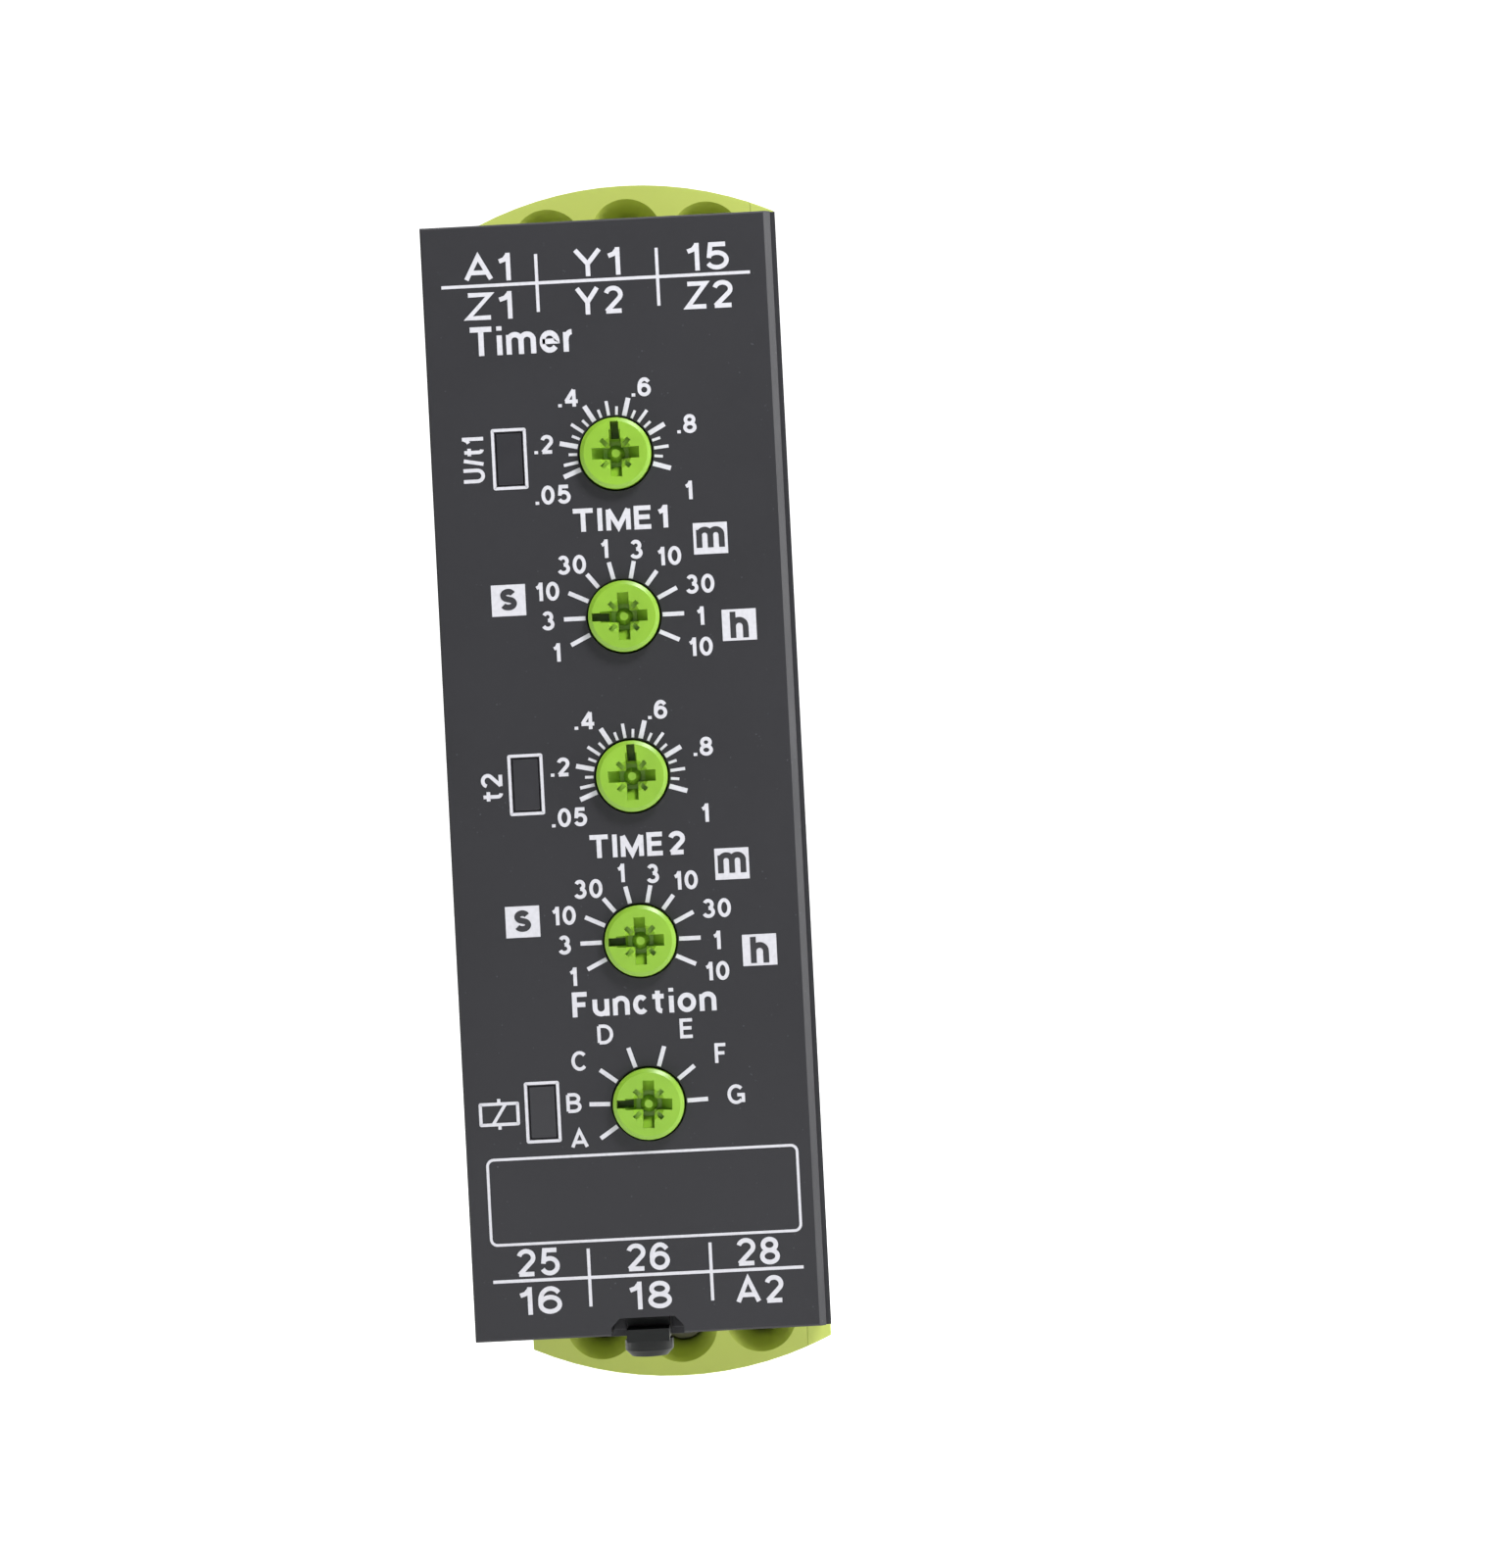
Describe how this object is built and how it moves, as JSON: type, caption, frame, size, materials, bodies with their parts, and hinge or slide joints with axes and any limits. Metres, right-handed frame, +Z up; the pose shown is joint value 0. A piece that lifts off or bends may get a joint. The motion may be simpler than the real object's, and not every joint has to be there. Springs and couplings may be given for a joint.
{
  "type": "din rail timer",
  "caption": "Narrow rail-mounted two-time relay timer: dark face with five setting knobs, stepped green housing, screw terminals, sprung rail foot.",
  "frame": {"origin": "middle of the mounting rail's front face, where the back of the housing seats", "axes": "+X to the right seen from the front, across the 22.5 mm width; +Y to the rear, into the rail; +Z up; the front faces -Y"},
  "size_m": [0.0226, 0.1087, 0.09],
  "materials": {
    "housing_green": "satin moulded plastic",
    "cap_black": "fine-grained moulded plastic",
    "latch_black": "satin moulded plastic",
    "foot_black": "satin moulded plastic",
    "knob_green": "semi-gloss moulded plastic",
    "window_smoke": "smoked",
    "board_green": "solder mask",
    "trimmer_blue": "moulded",
    "led_white": "moulded",
    "header_black": "moulded",
    "screw_steel": "zinc plated",
    "clamp_steel": "zinc plated",
    "contact_brass": "tinned brass",
    "spring_steel": "bright",
    "relay_case": "moulded",
    "relay_base": "moulded",
    "relay_iron": "nickel plated",
    "relay_coil": "enamelled copper",
    "transformer_grey": "potted",
    "capacitor_sleeve": "shrink sleeve",
    "varistor_blue": "epoxy",
    "chip_black": "moulded"
  },
  "bodies": {
    "root_housing": {"housing_shell": "housing_green", "side_cover": "housing_green", "front_cap": "cap_black", "light_guides": "window_smoke", "foot_spring": "spring_steel", "trimmers": "trimmer_blue", "front_board": "board_green", "leds": "led_white", "main_board": "board_green", "board_headers": "header_black", "terminal_board_top": "board_green", "terminal_board_bottom": "board_green", "contact_bars": "contact_brass", "supply_transformer": "transformer_grey", "capacitors": "capacitor_sleeve", "varistor": "varistor_blue", "control_chip": "chip_black", "relay1_base": "relay_base", "relay1_case": "relay_case", "relay1_frame": "relay_iron", "relay1_coil": "relay_coil", "relay1_contacts": "contact_brass", "relay2_base": "relay_base", "relay2_case": "relay_case", "relay2_frame": "relay_iron", "relay2_coil": "relay_coil", "relay2_contacts": "contact_brass"},
    "front_latch": {"front_latch": "latch_black"},
    "rail_foot": {"rail_foot": "foot_black"},
    "knob_time1": {"knob_time1": "knob_green"},
    "knob_range1": {"knob_range1": "knob_green"},
    "knob_time2": {"knob_time2": "knob_green"},
    "knob_range2": {"knob_range2": "knob_green"},
    "knob_function": {"knob_function": "knob_green"},
    "screw_a1": {"screw_a1": "screw_steel"},
    "clamp_a1": {"clamp_a1": "clamp_steel"},
    "screw_y1": {"screw_y1": "screw_steel"},
    "clamp_y1": {"clamp_y1": "clamp_steel"},
    "screw_15": {"screw_15": "screw_steel"},
    "clamp_15": {"clamp_15": "clamp_steel"},
    "screw_z1": {"screw_z1": "screw_steel"},
    "clamp_z1": {"clamp_z1": "clamp_steel"},
    "screw_y2": {"screw_y2": "screw_steel"},
    "clamp_y2": {"clamp_y2": "clamp_steel"},
    "screw_z2": {"screw_z2": "screw_steel"},
    "clamp_z2": {"clamp_z2": "clamp_steel"},
    "screw_25": {"screw_25": "screw_steel"},
    "clamp_25": {"clamp_25": "clamp_steel"},
    "screw_26": {"screw_26": "screw_steel"},
    "clamp_26": {"clamp_26": "clamp_steel"},
    "screw_28": {"screw_28": "screw_steel"},
    "clamp_28": {"clamp_28": "clamp_steel"},
    "screw_16": {"screw_16": "screw_steel"},
    "clamp_16": {"clamp_16": "clamp_steel"},
    "screw_18": {"screw_18": "screw_steel"},
    "clamp_18": {"clamp_18": "clamp_steel"},
    "screw_a2": {"screw_a2": "screw_steel"},
    "clamp_a2": {"clamp_a2": "clamp_steel"},
    "relay1_armature": {"relay1_armature": "relay_iron"},
    "relay2_armature": {"relay2_armature": "relay_iron"}
  },
  "joints": [
    {"name": "knob_time1_turn", "type": "hinge", "parent": "root_housing", "child": "knob_time1", "pos_m": [0.00045, -0.1025, 0.0204], "axis": [0, 1, 0], "range_deg": [-110, 110]},
    {"name": "knob_range1_turn", "type": "hinge", "parent": "root_housing", "child": "knob_range1", "pos_m": [0.00045, -0.1025, 0.0101], "axis": [0, 1, 0], "range_deg": [-25.7, 205.7]},
    {"name": "knob_time2_turn", "type": "hinge", "parent": "root_housing", "child": "knob_time2", "pos_m": [0.00045, -0.1025, 0], "axis": [0, 1, 0], "range_deg": [-110, 110]},
    {"name": "knob_range2_turn", "type": "hinge", "parent": "root_housing", "child": "knob_range2", "pos_m": [0.00045, -0.1025, -0.0104], "axis": [0, 1, 0], "range_deg": [-25.7, 205.7]},
    {"name": "knob_function_turn", "type": "hinge", "parent": "root_housing", "child": "knob_function", "pos_m": [0.00045, -0.1025, -0.0207], "axis": [0, 1, 0], "range_deg": [-35.3, 176.5]},
    {"name": "screw_a1_turn", "type": "hinge", "parent": "root_housing", "child": "screw_a1", "pos_m": [-0.006, -0.0373, 0.0408], "axis": [0, 1, 0], "range_deg": [0, 1728.1]},
    {"name": "clamp_a1_rise", "type": "slide", "parent": "root_housing", "child": "clamp_a1", "axis": [0, -1, 0], "range_m": [0, 0.0024]},
    {"name": "screw_y1_turn", "type": "hinge", "parent": "root_housing", "child": "screw_y1", "pos_m": [0, -0.0373, 0.0413], "axis": [0, 1, 0], "range_deg": [0, 1728.1]},
    {"name": "clamp_y1_rise", "type": "slide", "parent": "root_housing", "child": "clamp_y1", "axis": [0, -1, 0], "range_m": [0, 0.0024]},
    {"name": "screw_15_turn", "type": "hinge", "parent": "root_housing", "child": "screw_15", "pos_m": [0.006, -0.0373, 0.0408], "axis": [0, 1, 0], "range_deg": [0, 1728.1]},
    {"name": "clamp_15_rise", "type": "slide", "parent": "root_housing", "child": "clamp_15", "axis": [0, -1, 0], "range_m": [0, 0.0024]},
    {"name": "screw_z1_turn", "type": "hinge", "parent": "root_housing", "child": "screw_z1", "pos_m": [-0.006, -0.061, 0.0374], "axis": [0, 1, 0], "range_deg": [0, 1728.1]},
    {"name": "clamp_z1_rise", "type": "slide", "parent": "root_housing", "child": "clamp_z1", "axis": [0, -1, 0], "range_m": [0, 0.0024]},
    {"name": "screw_y2_turn", "type": "hinge", "parent": "root_housing", "child": "screw_y2", "pos_m": [0, -0.061, 0.0374], "axis": [0, 1, 0], "range_deg": [0, 1728.1]},
    {"name": "clamp_y2_rise", "type": "slide", "parent": "root_housing", "child": "clamp_y2", "axis": [0, -1, 0], "range_m": [0, 0.0024]},
    {"name": "screw_z2_turn", "type": "hinge", "parent": "root_housing", "child": "screw_z2", "pos_m": [0.006, -0.061, 0.0374], "axis": [0, 1, 0], "range_deg": [0, 1728.1]},
    {"name": "clamp_z2_rise", "type": "slide", "parent": "root_housing", "child": "clamp_z2", "axis": [0, -1, 0], "range_m": [0, 0.0024]},
    {"name": "screw_25_turn", "type": "hinge", "parent": "root_housing", "child": "screw_25", "pos_m": [-0.006, -0.061, -0.0374], "axis": [0, 1, 0], "range_deg": [0, 1728.1]},
    {"name": "clamp_25_rise", "type": "slide", "parent": "root_housing", "child": "clamp_25", "axis": [0, -1, 0], "range_m": [0, 0.0024]},
    {"name": "screw_26_turn", "type": "hinge", "parent": "root_housing", "child": "screw_26", "pos_m": [0, -0.061, -0.0374], "axis": [0, 1, 0], "range_deg": [0, 1728.1]},
    {"name": "clamp_26_rise", "type": "slide", "parent": "root_housing", "child": "clamp_26", "axis": [0, -1, 0], "range_m": [0, 0.0024]},
    {"name": "screw_28_turn", "type": "hinge", "parent": "root_housing", "child": "screw_28", "pos_m": [0.006, -0.061, -0.0374], "axis": [0, 1, 0], "range_deg": [0, 1728.1]},
    {"name": "clamp_28_rise", "type": "slide", "parent": "root_housing", "child": "clamp_28", "axis": [0, -1, 0], "range_m": [0, 0.0024]},
    {"name": "screw_16_turn", "type": "hinge", "parent": "root_housing", "child": "screw_16", "pos_m": [-0.006, -0.0373, -0.0408], "axis": [0, 1, 0], "range_deg": [0, 1728.1]},
    {"name": "clamp_16_rise", "type": "slide", "parent": "root_housing", "child": "clamp_16", "axis": [0, -1, 0], "range_m": [0, 0.0024]},
    {"name": "screw_18_turn", "type": "hinge", "parent": "root_housing", "child": "screw_18", "pos_m": [0, -0.0373, -0.0413], "axis": [0, 1, 0], "range_deg": [0, 1728.1]},
    {"name": "clamp_18_rise", "type": "slide", "parent": "root_housing", "child": "clamp_18", "axis": [0, -1, 0], "range_m": [0, 0.0024]},
    {"name": "screw_a2_turn", "type": "hinge", "parent": "root_housing", "child": "screw_a2", "pos_m": [0.006, -0.0373, -0.0408], "axis": [0, 1, 0], "range_deg": [0, 1728.1]},
    {"name": "clamp_a2_rise", "type": "slide", "parent": "root_housing", "child": "clamp_a2", "axis": [0, -1, 0], "range_m": [0, 0.0024]},
    {"name": "front_latch_press", "type": "slide", "parent": "root_housing", "child": "front_latch", "axis": [0, 0, 1], "range_m": [0, 0.0006], "stiffness_N_per_m": 400, "springref_m": -0.0005},
    {"name": "rail_foot_pull", "type": "slide", "parent": "root_housing", "child": "rail_foot", "axis": [0, 0, -1], "range_m": [0, 0.003], "stiffness_N_per_m": 1500, "springref_m": -0.001, "deforming": ["foot_spring"]},
    {"name": "relay1_armature_pull", "type": "hinge", "parent": "root_housing", "child": "relay1_armature", "pos_m": [0.00485, -0.0445, 0.0205], "axis": [0, 0, -1], "range_deg": [0, 5.5], "stiffness_Nm_per_rad": 0.01, "springref_deg": -5.73},
    {"name": "relay2_armature_pull", "type": "hinge", "parent": "root_housing", "child": "relay2_armature", "pos_m": [0.00485, -0.0445, 0.006], "axis": [0, 0, -1], "range_deg": [0, 5.5], "stiffness_Nm_per_rad": 0.01, "springref_deg": -5.73}
  ],
  "couplings": [
    {"joint": "screw_a1_turn", "follows": "clamp_a1_rise", "rad_per_m": 12566},
    {"joint": "screw_y1_turn", "follows": "clamp_y1_rise", "rad_per_m": 12566},
    {"joint": "screw_15_turn", "follows": "clamp_15_rise", "rad_per_m": 12566},
    {"joint": "screw_z1_turn", "follows": "clamp_z1_rise", "rad_per_m": 12566},
    {"joint": "screw_y2_turn", "follows": "clamp_y2_rise", "rad_per_m": 12566},
    {"joint": "screw_z2_turn", "follows": "clamp_z2_rise", "rad_per_m": 12566},
    {"joint": "screw_25_turn", "follows": "clamp_25_rise", "rad_per_m": 12566},
    {"joint": "screw_26_turn", "follows": "clamp_26_rise", "rad_per_m": 12566},
    {"joint": "screw_28_turn", "follows": "clamp_28_rise", "rad_per_m": 12566},
    {"joint": "screw_16_turn", "follows": "clamp_16_rise", "rad_per_m": 12566},
    {"joint": "screw_18_turn", "follows": "clamp_18_rise", "rad_per_m": 12566},
    {"joint": "screw_a2_turn", "follows": "clamp_a2_rise", "rad_per_m": 12566}
  ]
}
